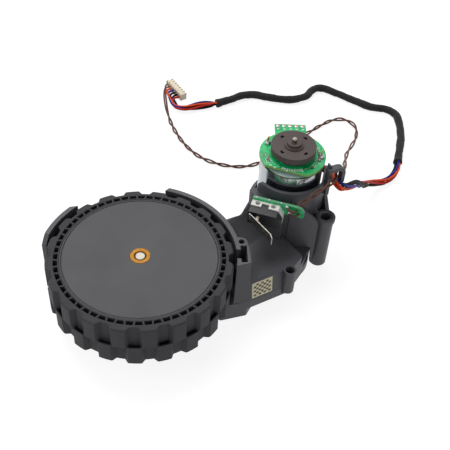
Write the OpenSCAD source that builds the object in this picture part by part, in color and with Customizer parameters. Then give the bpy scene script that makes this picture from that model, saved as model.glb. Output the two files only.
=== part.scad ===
// Robot vacuum wheel module: driven wheel, gear train, motor with encoder, limit switch and harness.
// It lies on its gearbox, so the wheel axis stands upright. The origin is on that axis, at the underside.

/* [Wheel] */
// Tyre diameter over the lugs
tyre_d = 70; // [62:1:84]
// Tyre width over both rows of lugs
tyre_w = 19.3; // [16:0.1:23.5]
// Lugs in each row
lug_count = 20; // [16:1:24]
// Height of a lug above the tread
lug_h = 2; // [1.5:0.1:2.5]
// Pockets in the truss ring, an even number
pocket_count = 60; // [48:2:72]
// Diameter of the wheel axle
axle_d = 4; // [3:0.1:5]
// Diameter of the brass bush in the hub
bush_d = 7.5; // [7:0.1:9]

/* [Gears] */
// Teeth of the output gear and of the pinion that drives it
teeth_4 = [44, 14];
// Teeth of the third stage
teeth_3 = [39, 15];
// Teeth of the second stage
teeth_2 = [39, 14];
// Teeth of the first stage, the motor pinion last
teeth_1 = [46, 14];
// Diameter of the gear pins
pin_d = 2; // [1.5:0.1:2.5]

/* [Housing] */
// Wall of the gearbox shells
wall = 1.6; // [1.2:0.1:2]
// Wall of the wheel-well guard
guard_wall = 1.8; // [1.2:0.1:2]
// Gap between lugs and guard
guard_gap = 1.2; // [1:0.1:2]
// Height of the cover's top face above the seam
cover_h = 9.5; // [8:0.1:12]
// Bore of the pivot boss
pivot_d = 4; // [3:0.1:4.8]
// Length of the pivot boss
pivot_len = 26.5; // [22:0.5:28]

/* [Motor] */
// Diameter of the motor can
motor_d = 24.8; // [22:0.1:26]
// Length of the motor can
motor_len = 30.8; // [26:0.1:36]
// Diameter of the motor shaft
shaft_d = 2; // [1.5:0.1:2.3]
// Diameter of the encoder magnet disc
magnet_d = 17.6; // [15:0.1:20]
// Diameter of the encoder board
board_d = 26; // [25:0.1:28]

/* [Switch] */
// Length of the limit switch
switch_l = 12.8; // [11:0.1:14]
// Height of the limit switch
switch_h = 5.8; // [5:0.1:7]
// Angle at which the lever stands off the switch
lever_open = 37.5; // [33:0.5:42]

/* [Harness] */
// Diameter of the taped sheath
sheath_d = 4.2; // [3.6:0.1:5]
// Diameter of the bundle of motor wires
bundle_d = 3.4; // [3:0.1:4]
// Diameter of the twisted pair
pair_d = 2; // [1.6:0.1:2.4]

/* [Hidden] */
$fn = 64;
eps = 0.02;
fit = 0.05;

// Stack of heights, from the underside up
base_floor = 1.4;
gear_low = 1.7;
gear_mid = 4.2;
well_under = 7.6;
well_t = 1.1;
well_top = well_under + well_t;
well_gap = 0.5;
tyre_z = well_top + well_gap;
face_z = tyre_z + tyre_w;
seam_z = 9;
step_z = 4.5;
top_z = seam_z + cover_h;
seat_z = top_z - 2.9;
can_top = seat_z + motor_len;
ring_top = can_top - 5.2;
ring_low = top_z + 6.5;
board_z = can_top + 1.1;
board_t = 1.1;
magnet_z = board_z + board_t + 1.8;
tip_z = magnet_z + 6.1;

// Radii of the wheel
tyre_r = tyre_d / 2;
root_r = tyre_r - lug_h;
pocket_out = root_r - 1;
pocket_in = pocket_out - 1.6;
rim_r = pocket_in - 0.5;
drum_t = 1.7;
cap_r = rim_r - 0.8;
guard_in = tyre_r + guard_gap;
guard_out = guard_in + guard_wall;
axle_r = axle_d / 2;

// Gear sizes: module of each stage, pressure angle, addendum and dedendum in modules
mod_4 = 0.8;
mod_3 = 0.7;
mod_2 = 0.6;
mod_1 = 0.5;
press_a = 25;
addendum = 0.9;
dedendum = 1.2;
backlash = 0.12;
run = 0.05;
pin_r = pin_d / 2;
shaft_r = shaft_d / 2;

// Centre distances, and the direction in which each gear lies from the one before
c4 = mod_4 * (teeth_4[0] + teeth_4[1]) / 2;
c3 = mod_3 * (teeth_3[0] + teeth_3[1]) / 2;
c2 = mod_2 * (teeth_2[0] + teeth_2[1]) / 2;
c1 = mod_1 * (teeth_1[0] + teeth_1[1]) / 2;
dir_4 = 23;
dir_3 = 28.3;
dir_2 = 29.3;
dir_1 = 78.5;
function polar(r, a) = [r * cos(a), r * sin(a)];
g3 = polar(c4, dir_4);
g2 = g3 + polar(c3, dir_3);
g1 = g2 + polar(c2, dir_2);
motor = g1 + polar(c1, dir_1);

// Turn of each gear at rest, so that teeth meet gaps
function mesh_turn(dir, turn, n_from, n_to) =
    dir + 180 + 180 / n_to + (dir - turn) * n_from / n_to;
turn_out = 0;
turn_3 = mesh_turn(dir_4, turn_out, teeth_4[0], teeth_4[1]);
turn_2 = mesh_turn(dir_3, turn_3, teeth_3[0], teeth_3[1]);
turn_1 = mesh_turn(dir_2, turn_2, teeth_2[0], teeth_2[1]);
turn_m = mesh_turn(dir_1, turn_1, teeth_1[0], teeth_1[1]);

// Housing
skirt_r = motor_d / 2 + 5.2;
ring_in = motor_d / 2 + 1.5;
ring_out = ring_in + 1.3;
seat_t = 1.8;
hub_zone = mod_4 * (teeth_4[0] / 2 + addendum) + 1 + wall + 4.6;
shell_3 = mod_3 * (teeth_3[0] / 2 + addendum) + 1 + wall;
shell_2 = mod_2 * (teeth_2[0] / 2 + addendum) + 1 + wall;
shell_1 = mod_1 * (teeth_1[0] / 2 + addendum) + 0.3 + wall;
boss = motor + [15.2, -12.5];
boss_top = face_z;
boss_r = 3.5;
small_boss = g1 + [5.1, -18.8];
small_boss_r = 2.5;
screw_r = 0.9;
screw_head = 1.5;
deep_screw = g2 + [2.3, -15.8];
seat_r = ring_out - wall - screw_head - 0.3;
seat_screws = [motor + polar(seat_r, 90), motor + polar(seat_r, -20.5)];

// Switch frame: along the board, and out of it towards the lever
switch_turn = -13.8;
along = polar(1, switch_turn);
out = polar(1, switch_turn - 90);
board_off = skirt_r + fit;
sw_board_t = 1.2;
switch_z = ring_top - 9.4;
white_d = 3.1;
black_d = 3.4;
switch_left = -10.1;
switch_o = motor + board_off * out + switch_left * along;

// Rounded polygons: each entry is [x, y, radius]
function unit(v) = v / norm(v);
function arc_pts(c, r, a, b, n) = [for (i = [0:n]) c + polar(r, a + (b - a) * i / n)];
function short_way(d) = d > 180 ? d - 360 : d < -180 ? d + 360 : d;
function corner(p, a, b, r) =
    let (u = unit(a - p), v = unit(b - p), h = acos(u * v) / 2,
         c = p + unit(u + v) * r / sin(h), s = p + u * r / tan(h), e = p + v * r / tan(h),
         from = atan2(s[1] - c[1], s[0] - c[0]), to = atan2(e[1] - c[1], e[0] - c[0]))
    arc_pts(c, r, from, from + short_way(to - from), 6);
function rounded(q) =
    let (n = len(q))
    [for (i = [0:n - 1]) each corner([q[i][0], q[i][1]],
        [q[(i + n - 1) % n][0], q[(i + n - 1) % n][1]], [q[(i + 1) % n][0], q[(i + 1) % n][1]], q[i][2])];
function turned(v) = [-v[1], v[0]];
function inset(q, w) =
    let (n = len(q))
    [for (i = [0:n - 1])
        let (p = [q[i][0], q[i][1]],
             a = unit(p - [q[(i + n - 1) % n][0], q[(i + n - 1) % n][1]]),
             b = unit([q[(i + 1) % n][0], q[(i + 1) % n][1]] - p),
             m = unit(turned(a) + turned(b)), k = w / (m * turned(a)))
        [p[0] + m[0] * k, p[1] + m[1] * k, max(0.3, q[i][2] - w)]];

// Outline of the shells at the seam, counter-clockwise
base_pts = [[31, -5.9, 1], [g2[0] + 4.5, g2[1] - 19.9, 8], [g1[0] + 5.6, g1[1] - 18.4, 6],
    [g1[0] + 11.6, g1[1] - 7.4, 5], [motor[0] + 12, motor[1] - 2, 4], [motor[0] - 13, motor[1] + 4, 4],
    [g2[0] - 2, g2[1] + 13, 4], [18, 24, 3]];
deep_pts = [[31, -5.9, 1], [g2[0] + 3.4, g2[1] - 20.2, 1.5], [g2[0] + 6.5, g2[1] - 13, 3],
    [g1[0] + 4, g1[1] - 9, 3], [g1[0] + 9, g1[1] + 2, 4], [motor[0] - 4, motor[1] - 4, 4],
    [g2[0] - 2, g2[1] + 13, 4], [18, 24, 3]];
cover_pts = [[guard_in - 0.6, -4.25, 0.5], [g2[0] + 4.5, g2[1] - 19.9, 8], [g1[0] + 5.6, g1[1] - 18.4, 6],
    [g1[0] + 10.1, g1[1] - 11, 1], [g1[0] + 3.8, g1[1] - 3.5, 0.5], [motor[0] - 12, motor[1] + 2, 2],
    [g2[0] + 0.6, g2[1] + 14, 1], [g2[0] - 1.4, g2[1] + 8.8, 5], [27, 20.4, 2]];
low_pts = [[g1[0] + 2, g1[1] - 14, 1], [g1[0] + 9.3, g1[1] - 12.4, 3], [g1[0] + 11.4, g1[1] - 7.4, 3],
    [g1[0] + 13.6, g1[1], 3], [motor[0] + 11.8, motor[1] - 2, 3], [motor[0], motor[1], 3]];

// Involute gears
function inv_a(rb, r) = let (a = acos(min(1, rb / r))) tan(a) * 180 / PI - a;
function flank(rb, r, half) = half - inv_a(rb, r);
function tooth(n, m) =
    let (rp = n * m / 2, rb = rp * cos(press_a), ra = rp + addendum * m, rf = rp - dedendum * m,
         rs = max(rb, rf), half = 90 / n - backlash / 2 / rp * 180 / PI + inv_a(rb, rp),
         rr = [rs, rs + (ra - rs) * 0.35, rs + (ra - rs) * 0.7, ra])
    concat([[rf, -flank(rb, rs, half) - 1.5 / rp]],
        [for (r = rr) [r, -flank(rb, r, half)]],
        [for (i = [3:-1:0]) [rr[i], flank(rb, rr[i], half)]],
        [[rf, flank(rb, rs, half) + 1.5 / rp]]);
module gear_2d(n, m, turn) {
    polygon([for (k = [0:n - 1]) each [for (t = tooth(n, m)) polar(t[0], t[1] + turn + 360 * k / n)]]);
}
module spur(n, m, turn, z0, z1, bore) {
    translate([0, 0, z0]) difference() {
        linear_extrude(z1 - z0) gear_2d(n, m, turn);
        translate([0, 0, -1]) cylinder(r = bore, h = z1 - z0 + 2);
    }
}

// General shapes
module at(p) { translate([p[0], p[1], 0]) children(); }
module tube(r_out, r_in, z0, z1) {
    translate([0, 0, z0]) difference() {
        cylinder(r = r_out, h = z1 - z0);
        translate([0, 0, -1]) cylinder(r = r_in, h = z1 - z0 + 2);
    }
}
module prism(pts, z0, z1) { translate([0, 0, z0]) linear_extrude(z1 - z0) polygon(rounded(pts)); }
function wedge(r, a, b) =
    concat([[0, 0]], [for (i = [0:8]) polar(r, a + (b - a) * i / 8)]);
module arc_wall(r_out, r_in, a, b, z0, z1) {
    intersection() {
        tube(r_out, r_in, z0, z1);
        translate([0, 0, z0 - 1]) linear_extrude(z1 - z0 + 2) polygon(wedge(r_out * 1.6, a, b));
    }
}

// Tube along a route: one ring of eight points at each of its points
function tangent(p, i) = unit(p[min(i + 1, len(p) - 1)] - p[max(i - 1, 0)]);
function side_of(t) = unit(cross(t, [0, 0, 1]));
module sweep(p, r) {
    sides = 8;
    n = len(p);
    rings = [for (i = [0:n - 1]) let (t = tangent(p, i), s = side_of(t), u = cross(s, t))
        each [for (k = [0:sides - 1]) p[i] + r * (cos(360 * k / sides) * s + sin(360 * k / sides) * u)]];
    walls = [for (i = [0:n - 2], k = [0:sides - 1]) let (a = i * sides + k, b = i * sides + (k + 1) % sides)
        each [[a, a + sides, b], [b, a + sides, b + sides]]];
    polyhedron(rings, concat(walls, [[for (k = [0:sides - 1]) k]],
        [[for (k = [sides - 1:-1:0]) (n - 1) * sides + k]]));
}

// Routes of the harness. Each starts where the one before it ends.
wires_route = [[56, 56.4, 45.4], [57.4, 56.8, 42.8], [60, 56.2, 39.6], [63.6, 53.6, 36.6],
    [67.2, 50.4, 35], [70.2, 47, 35.6], [71.9, 42.8, 37.8], [71.9, 39.2, 40], [71.6, 36.7, 40.9],
    [72.4, 34.4, 41], [73.7, 32.9, 40.5], [76.2, 34.8, 38.2], [79.2, 39.4, 34.9], [83, 46.3, 29.8],
    [86, 54, 22.6], [90.7, 65.6, 12.4], [97.3, 75.6, 4.6], [103.1, 79.7, 2.4], [107, 84, 2.1],
    [109.4, 88.8, 2.1], [110.4, 93.9, 2.1]];
sheath_route = [[110.4, 93.9, 2.1], [111.6, 100, 2.1], [112.9, 106.7, 2.1], [114, 113, 2.1],
    [114.3, 119.3, 2.1], [114, 126, 2.1], [112.6, 131.5, 2.1], [108, 135, 2.1], [100.6, 136, 2.1],
    [92.6, 140.2, 2.1], [83.5, 145.3, 2.1], [78, 148.4, 2.1], [73.6, 148.6, 2.1], [70.2, 145.4, 2.1],
    [67.1, 140.4, 2.1], [60, 137.2, 2.1], [53.5, 137.2, 2.1], [47.1, 137.9, 2.1], [41.5, 138.8, 2.1],
    [36, 138, 2.1], [29, 133.8, 2.1], [21.8, 129.4, 2.1]];
fan_route = [[21.8, 129.4, 2.1], [14.6, 127.4, 1.9], [8.2, 124.6, 1.9], [3.4, 124, 1.9],
    [0.5, 126.6, 2], [-0.8, 130.8, 2], [-0.5, 134.8, 1.9], [0.9, 136.8, 1.8]];
pair_route = [[58.6, 21.8, 37.2], [59, 23.2, 38], [60.4, 24, 39], [62.4, 25.2, 40.3],
    [64.6, 26.6, 41.4], [67.2, 28.4, 42.6], [70, 30.8, 43.4], [71.6, 32.6, 43.7], [72.2, 34.4, 43.9],
    [72.1, 36.6, 43.9], [72.8, 38.8, 43.8], [74.4, 40.2, 43.2], [75.9, 42, 41.8],
    [77, 46.4, 38.2], [78.7, 56.9, 31], [79.8, 64, 26.5],
    [81.2, 71.2, 22], [82.8, 79, 17.4],
    [84.6, 86.8, 13], [86.8, 94.4, 8.6], [89, 102, 4.8], [90.6, 107.6, 2.4], [91.9, 112.6, 1.1],
    [92.3, 117.6, 1], [90.8, 122.2, 1], [86.5, 125.1, 1], [81, 124.2, 1], [75.3, 119.8, 1],
    [68.9, 113.4, 1], [60.2, 104, 1], [51.5, 94.1, 1], [43.8, 87.3, 1], [38, 84.6, 1],
    [32.1, 83.9, 1], [24.4, 85.2, 1], [16.5, 88.9, 1], [10, 95.3, 1], [5, 102.8, 1],
    [0.6, 111.9, 1], [-2.4, 121.7, 1], [-4.3, 130.5, 1.4], [-5, 135.6, 1.8], [-5.1, 139.2, 1.9],
    [-4.5, 141.4, 1.9], [-3, 142.5, 1.9]];
plug_turn = -55;
plug_pitch = 2;
plug_ways = 7;
plug_w = 3.4;
plug_h = 3.4;
plug_l = plug_pitch * plug_ways - 0.1;
plug_at = [0.8, 139];

// Wheel
module lug_profile(phase) {
    tip_a = 3.8;
    half = root_r * PI / lug_count * 0.75;
    for (k = [0:lug_count - 1]) rotate(phase + 360 * k / lug_count)
        polygon([[root_r - 0.6, -half], polar(tyre_r, -tip_a), [tyre_r + 0.02, 0],
            polar(tyre_r, tip_a), [root_r - 0.6, half]]);
}
module lug_cells(phase, z0, h) {
    for (k = [0:lug_count - 1]) rotate(phase + 360 * k / lug_count) translate([0, 0, z0])
        linear_extrude(h) polygon([[root_r + 0.1, -2.3], [tyre_r - 0.5, -1.9],
            [tyre_r - 0.5, 1.9], [root_r + 0.1, 2.3]]);
}
module truss_pockets() {
    pitch = 360 / pocket_count;
    for (k = [0:pocket_count - 1]) {
        wide_out = k % 2 == 0;
        a_out = pitch * (wide_out ? 0.46 : 0.35);
        a_in = pitch * (wide_out ? 0.33 : 0.44);
        rotate(phase_1 + k * pitch)
            polygon([polar(pocket_in, -a_in), polar(pocket_out, -a_out),
                polar(pocket_out, a_out), polar(pocket_in, a_in)]);
    }
}
phase_1 = 12.3;
phase_2 = phase_1 + 180 / lug_count;
mid_z = tyre_z + tyre_w / 2;
cell_h = 4.5;
pocket_depth = tyre_w / 2 - 1;
module tyre() {
    chamfer = 0.5;
    color("dimgray") difference() {
        intersection() {
            union() {
                tube(root_r, rim_r, tyre_z, face_z);
                translate([0, 0, mid_z - eps]) linear_extrude(tyre_w / 2 + eps) lug_profile(phase_1);
                translate([0, 0, tyre_z]) linear_extrude(tyre_w / 2) lug_profile(phase_2);
            }
            rotate_extrude() polygon([[rim_r, tyre_z], [tyre_r - chamfer, tyre_z],
                [tyre_r + 0.2, tyre_z + chamfer + 0.2], [tyre_r + 0.2, face_z - chamfer - 0.2],
                [tyre_r - chamfer, face_z], [rim_r, face_z]]);
        }
        translate([0, 0, face_z - pocket_depth]) linear_extrude(pocket_depth + 1) truss_pockets();
        translate([0, 0, tyre_z - 1]) linear_extrude(pocket_depth + 1) truss_pockets();
        lug_cells(phase_2, mid_z - cell_h, cell_h);
        lug_cells(phase_1, mid_z, cell_h);
    }
}
web_z = face_z - 6;
web_t = 1.8;
rim_rib_count = 9;
drive_flat = bush_d + 3.4;
module drive_hex(r_add, z0, z1) {
    translate([0, 0, z0]) cylinder(d = drive_flat / cos(30) + 2 * r_add, h = z1 - z0, $fn = 6);
}
hub_r = drive_flat / 2 / cos(30) + 1.6;
rim_low = tyre_z + 0.6;
drive_top = web_z - 1;
module wheel_rim() {
    color("dimgray") difference() {
        union() {
            tube(rim_r - fit, rim_r - drum_t, rim_low, face_z - 1.5);
            tube(rim_r - fit, cap_r + fit, face_z - 1.5 - eps, face_z - 0.1);
            translate([0, 0, web_z]) cylinder(r = rim_r - drum_t + eps, h = web_t);
            translate([0, 0, drive_top - 6]) cylinder(r = hub_r, h = web_z - drive_top + 6 + eps);
            for (k = [0:rim_rib_count - 1]) rotate(360 * k / rim_rib_count)
                translate([hub_r - 1, -0.6, web_z + web_t - eps])
                    cube([rim_r - drum_t - hub_r + 1.2, 1.2, face_z - 1.6 - web_z - web_t + eps]);
            tube(bush_d / 2 + 1.6, bush_d / 2 + fit, web_z, face_z - 1.6);
        }
        translate([0, 0, rim_low - 1]) cylinder(r = bush_d / 2 + fit, h = tyre_w + 4);
        drive_hex(fit, drive_top - 7, drive_top);
    }
}
module hub_cap() {
    color("gray") difference() {
        union() {
            translate([0, 0, face_z - 1.5]) cylinder(r = cap_r, h = 1.2);
            translate([0, 0, face_z - 0.3 - eps]) cylinder(r1 = cap_r, r2 = cap_r - 0.25, h = 0.25);
        }
        translate([0, 0, face_z - 3]) cylinder(r = bush_d / 2 + fit, h = 4);
    }
}
bush_low = gear_mid + 5.4;
module hub_bush() {
    color("goldenrod") difference() {
        translate([0, 0, bush_low]) cylinder(r = bush_d / 2, h = face_z - bush_low);
        translate([0, 0, bush_low - 1]) cylinder(r = axle_r + run, h = tyre_w + 12);
        translate([0, 0, face_z - 0.5]) cylinder(r1 = axle_r + run, r2 = axle_r + 0.4, h = 0.52);
    }
}
out_t = 3;
module output_gear() {
    color("ivory") difference() {
        union() {
            spur(teeth_4[0], mod_4, turn_out, gear_mid, gear_mid + out_t, axle_r + run);
            drive_hex(0, gear_mid + out_t - eps, drive_top - 0.2);
        }
        translate([0, 0, gear_mid - 1]) cylinder(r = axle_r + run, h = 30);
        translate([0, 0, bush_low]) cylinder(r = bush_d / 2 + fit, h = 30);
    }
}
module wheel_axle() {
    color("silver") {
        translate([0, 0, base_floor]) cylinder(r = axle_r, h = face_z - 0.5 - base_floor);
        translate([0, 0, face_z - 0.5 - eps]) cylinder(r1 = axle_r, r2 = axle_r - 0.3, h = 0.4);
    }
}

// Gear train
stage_3_top = gear_low + 2.2;
module compound(centre, big, small, m_big, m_small, turn, big_z, small_z) {
    at(centre) {
        spur(big, m_big, turn, big_z[0], big_z[1], pin_r + run);
        spur(small, m_small, turn, small_z[0], small_z[1], pin_r + run);
    }
}
g3_big = [gear_low, stage_3_top];
g3_small = [stage_3_top - eps, gear_mid + out_t + 0.1];
g2_small = [gear_low, gear_mid + 0.2];
g2_big = [gear_mid + 0.1, gear_mid + 2.6];
g1_small = [gear_mid + 0.1, gear_mid + 3.1];
g1_big = [gear_mid + 3, gear_mid + 6];
module gear_3() { color("ivory") compound(g3, teeth_3[0], teeth_4[1], mod_3, mod_4, turn_3, g3_big, g3_small); }
module gear_2() { color("ivory") compound(g2, teeth_2[0], teeth_3[1], mod_2, mod_3, turn_2, g2_big, g2_small); }
module gear_1() { color("ivory") compound(g1, teeth_1[0], teeth_2[1], mod_1, mod_2, turn_1, g1_big, g1_small); }
gear_roof = g1_big[1] + 0.8;
module gear_pins() {
    color("silver") {
        at(g3) translate([0, 0, base_floor]) cylinder(r = pin_r, h = well_under - base_floor);
        at(g2) translate([0, 0, base_floor]) cylinder(r = pin_r, h = seam_z - base_floor);
        at(g1) translate([0, 0, base_floor]) cylinder(r = pin_r, h = gear_roof - base_floor);
    }
}
module motor_pinion() {
    color("goldenrod") at(motor) spur(teeth_1[1], mod_1, turn_m, g1_big[0] - 0.4, seat_z - 2.4, shaft_r);
}

// Plans of the shells: w is how far inside the outline
module deep_plan(w) {
    circle(r = hub_zone - w);
    at(g3) circle(r = shell_3 - w);
    at(g2) circle(r = shell_2 - w);
    polygon(rounded(inset(deep_pts, w)));
}
module wide_plan(w) {
    at(g2) circle(r = shell_2 - w);
    at(g1) circle(r = shell_1 - w);
    at(motor) circle(r = ring_out - w);
    polygon(rounded(inset(base_pts, w)));
}
skirt_from = 208;
skirt_to = 264;
module cradle_plan(grow) {
    at(motor) circle(r = ring_out + grow);
    at(motor) intersection() {
        circle(r = skirt_r + grow);
        polygon(wedge(skirt_r * 1.6, skirt_from - grow * 4, skirt_to + grow * 4));
    }
}
module screw_post(p, z0, z1) {
    at(p) translate([0, 0, z0]) cylinder(r = screw_head + 0.7, h = z1 - z0);
}
module screw_hole(p, z0) {
    at(p) {
        translate([0, 0, z0 - 1]) cylinder(r = screw_head + 0.1, h = 2.8);
        translate([0, 0, z0]) cylinder(r = screw_r + 0.1, h = 12);
    }
}
module gearbox_base() {
    color("dimgray") difference() {
        union() {
            difference() {
                union() {
                    linear_extrude(well_under) deep_plan(0);
                    translate([0, 0, step_z]) linear_extrude(well_under - step_z) wide_plan(0);
                    translate([0, 0, step_z]) linear_extrude(seam_z - step_z) difference() {
                        wide_plan(0);
                        circle(r = guard_out + fit);
                    }
                }
                translate([0, 0, base_floor]) linear_extrude(20) deep_plan(wall);
                translate([0, 0, step_z + base_floor]) linear_extrude(20) wide_plan(wall);
            }
            tube(axle_r + 1.6, axle_r, base_floor - eps, gear_mid - 0.1);
            screw_post(deep_screw, 0, seam_z);
            for (p = seat_screws) screw_post(p, step_z, seam_z);
        }
        screw_hole(deep_screw, 0);
        for (p = seat_screws) screw_hole(p, step_z);
        at(small_boss) translate([0, 0, seam_z - 3.4]) cylinder(r = small_boss_r + fit, h = 8);
    }
}
module well_floor() {
    difference() {
        translate([0, 0, well_under]) intersection() {
            cylinder(r = guard_out, h = well_t);
            linear_extrude(well_t) union() {
                circle(r = hub_zone);
                polygon(rounded(base_pts));
                polygon(wedge(guard_out * 1.6, -4, 88));
                polygon(wedge(guard_out * 1.6, 86, 174));
            }
        }
        translate([0, 0, well_under - 1]) cylinder(r = mod_4 * teeth_4[0] / 4, h = well_t + 2);
    }
}
module gearbox_cover() {
    color("dimgray") difference() {
        union() {
            well_floor();
            difference() {
                union() {
                    arc_wall(guard_out, guard_in, -4, 81, well_under, face_z);
                    arc_wall(guard_out, guard_in, 139, 174, well_under, face_z);
                    difference() {
                        union() {
                            difference() {
                                prism(cover_pts, seam_z, top_z);
                                front_cut(front_b, front_c, 1.1, top_z - 0.7, 58);
                            }
                            prism(low_pts, seam_z, seam_z + land_h);
                            translate([0, 0, seam_z]) linear_extrude(2) difference() {
                                wide_plan(0);
                                polygon(wedge(200, -60, 20));
                            }
                            prism(box_pts, seam_z, face_z);
                            ramp();
                        }
                        translate([0, 0, seam_z - 1]) cylinder(r = guard_in + eps, h = 40);
                    }
                }
                box_cuts();
                guard_ends();
                front_cut(front_a, front_b, fit, seam_z, draft_a);
                front_cut(front_b, front_c, fit, seam_z, draft_a);
            }
            small_screw_boss();
        }
        translate([0, 0, seam_z - 1]) linear_extrude(60) cradle_plan(fit);
        at(small_boss) translate([0, 0, top_z - 4]) cylinder(r = small_boss_r - 0.7, h = 5);
        at(g1) translate([0, 0, seam_z - 1]) cylinder(r = gear_1_space, h = gear_roof - seam_z + 1);
        at(deep_screw) translate([0, 0, seam_z - 1]) cylinder(r = screw_r, h = 7);
    }
}
gear_1_space = mod_1 * teeth_1[0] / 2 + 1.2;
box_pts = [[guard_in - 0.5, -4.3, 0.4], [g2[0] + 3.85, g2[1] - 20.2, 0.5], [g2[0] + 3.2, g2[1] - 15, 8],
    [g2[0] + 2.4, g2[1] - 10.1, 5], [g2[0] + 1.4, g2[1] - 5.4, 2], [g2[0] - 3, g2[1] - 4.9, 0.5]];
box_depth = 8;
module box_cuts() {
    translate([guard_in + 2.4, 4.65, face_z - box_depth]) rotate(5.5) translate([-1.2, -4.15, 0])
        cube([2.4, 8.3, box_depth + 1]);
    translate([guard_in - 2, 2.2, face_z - box_depth]) cube([3.8, 4.4, box_depth + 1]);
    translate([guard_in + 1.2, 10.8, face_z - box_depth]) cylinder(r = 1.15, h = box_depth + 1);
}
// Drafted front of the cover and its box: what lies outside a plane that leans in from a to b
front_a = [guard_in - 3, -5.2];
front_b = [g2[0] + 4.5, g2[1] - 19.9];
front_c = [g1[0] + 5.6, g1[1] - 18.4];
draft_a = 7;
module front_cut(a, b, back, z, lean) {
    d = unit(b - a);
    translate([a[0], a[1], z]) rotate([0, 0, atan2(d[1], d[0])]) translate([0, back, 0]) rotate([-lean, 0, 0])
        translate([-1, -6, -3]) cube([norm(b - a) + 1.5, 6, 33]);
}
// Slanted ends of the guard, and the slope at its low end
module guard_ends() {
    translate([0, 0, well_top]) linear_extrude(30) {
        polygon([polar(guard_in - 0.5, 138), polar(guard_out + 0.5, 144.4), polar(guard_out + 4, 136)]);
        polygon([polar(guard_in - 0.5, 81.6), polar(guard_out + 0.5, 78.7), polar(guard_out + 4, 84)]);
    }
    rotate(168) translate([guard_in - 1, 0, face_z]) rotate([-32, 0, 0]) cube([5, 8, 4]);
}
module small_screw_boss() {
    at(small_boss) {
        translate([0, 0, seam_z - 2]) cylinder(r = small_boss_r, h = top_z - seam_z + 2);
        translate([0, 0, seam_z - 3]) cylinder(r1 = small_boss_r - 1, r2 = small_boss_r, h = 1 + eps);
    }
}
// Saddle that falls from the guard's rim to the cover's top face
ridge_a = polar(guard_out, 37);
ridge_dir = 49;
module ramp() {
    run_out = 11;
    drop = face_z - 1 - top_z;
    profile = concat([[-1, 0]], [[run_out, 0]],
        [for (i = [7:-1:0]) [run_out * i / 8, drop * (1 + cos(180 * i / 8)) / 2]], [[-12, drop], [-12, 0]]);
    intersection() {
        at(ridge_a) translate([0, 0, top_z - eps]) rotate(ridge_dir) translate([-30, 0, 0]) rotate([90, 0, 90])
            mirror([1, 0, 0]) linear_extrude(60) polygon(profile);
        translate([0, 0, top_z - 1]) linear_extrude(face_z) difference() {
            polygon(rounded(cover_pts));
            circle(r = guard_out - 0.5);
        }
    }
}

// Motor cradle with the pivot boss
land_h = 3.2;
module cradle_gusset(a, b, za, zb, t, leg) {
    d = unit(b - a);
    long = norm(b - a);
    foot = boss_top - pivot_len + 1.6;
    clear_z = seam_z + land_h + 0.3;
    translate([a[0], a[1], 0]) rotate([0, 0, atan2(d[1], d[0])]) rotate([90, 0, 0])
        translate([0, 0, -t / 2]) linear_extrude(t)
            polygon([[0, clear_z], [long - leg, clear_z], [long - leg * 0.55, foot], [long, foot],
                [long, zb], [0, za]]);
}
head_r = boss_r + 0.5;
module pivot_boss() {
    foot = boss_top - pivot_len;
    at(boss) {
        translate([0, 0, foot + 0.5]) cylinder(r = boss_r, h = pivot_len - 1);
        translate([0, 0, foot]) cylinder(r1 = boss_r - 0.4, r2 = boss_r, h = 0.5 + eps);
        translate([0, 0, boss_top - 2.8]) cylinder(r1 = boss_r - 0.1, r2 = head_r, h = 0.6);
        translate([0, 0, boss_top - 2.2 - eps]) cylinder(r = head_r, h = 1.9);
        translate([0, 0, boss_top - 0.3 - 2 * eps]) cylinder(r1 = head_r, r2 = head_r - 0.3, h = 0.3 + 2 * eps);
    }
}
skirt_top = switch_z + 4;
// Rounds off the start of the ring's upper wall
module ring_corner() {
    r = 2.5;
    at(motor) rotate(ring_from) translate([ring_in - 1, -0.4, ring_top - r]) difference() {
        cube([4, r + 0.4, r + 1]);
        translate([-1, r + 0.4, 0]) rotate([0, 90, 0]) cylinder(r = r, h = 6);
    }
}
ring_from = 214;
module motor_cradle() {
    color("dimgray") difference() {
        union() {
            at(motor) {
                tube(ring_out, ring_in, seam_z, ring_low);
                arc_wall(ring_out, ring_in, ring_from, 372, seam_z, ring_top);
                translate([0, 0, seat_z - seat_t]) cylinder(r = ring_in + eps, h = seat_t);
                arc_wall(skirt_r, ring_in + 0.5, skirt_from, skirt_to, seam_z, skirt_top);
            }
            pivot_boss();
            cradle_gusset(motor + [0.6, -15], boss + [-2.6, -2], ring_top - 3, boss_top - 1.4, 1.2, 1.7);
            cradle_gusset(motor + polar(ring_in + 0.5, -50), boss + [-2, 1.6], ring_top - 7, boss_top - 1.2, 1, 1.6);
            cradle_gusset(motor + polar(ring_in + 0.5, -14), boss + [1.2, 2.6], ring_top - 5, boss_top - 1, 1.4, 2.6);
            cable_clip();
            difference() {
                for (p = seat_screws) screw_post(p, seam_z, seat_z - 0.2);
                at(motor) tube(40, ring_out - eps, 0, 40);
            }
        }
        at(boss) translate([0, 0, boss_top - pivot_len - 1]) cylinder(d = pivot_d, h = pivot_len + 2);
        at(boss) translate([0, 0, boss_top - 0.4]) cylinder(r1 = pivot_d / 2, r2 = pivot_d / 2 + 0.75, h = 0.5);
        ring_corner();
        at(motor) translate([0, 0, seat_z - 3]) cylinder(r = 3.4, h = 5);
        at(g1) cylinder(r = gear_1_space, h = gear_roof);
        for (p = seat_screws) at(p) translate([0, 0, seam_z - 1]) cylinder(r = screw_r, h = 5);
    }
}
clip_t = 1.5;
clip_w = 2.6;
clip_rise = 7;
clip_l = 7.6;
clip_low = -1.2;
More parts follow.
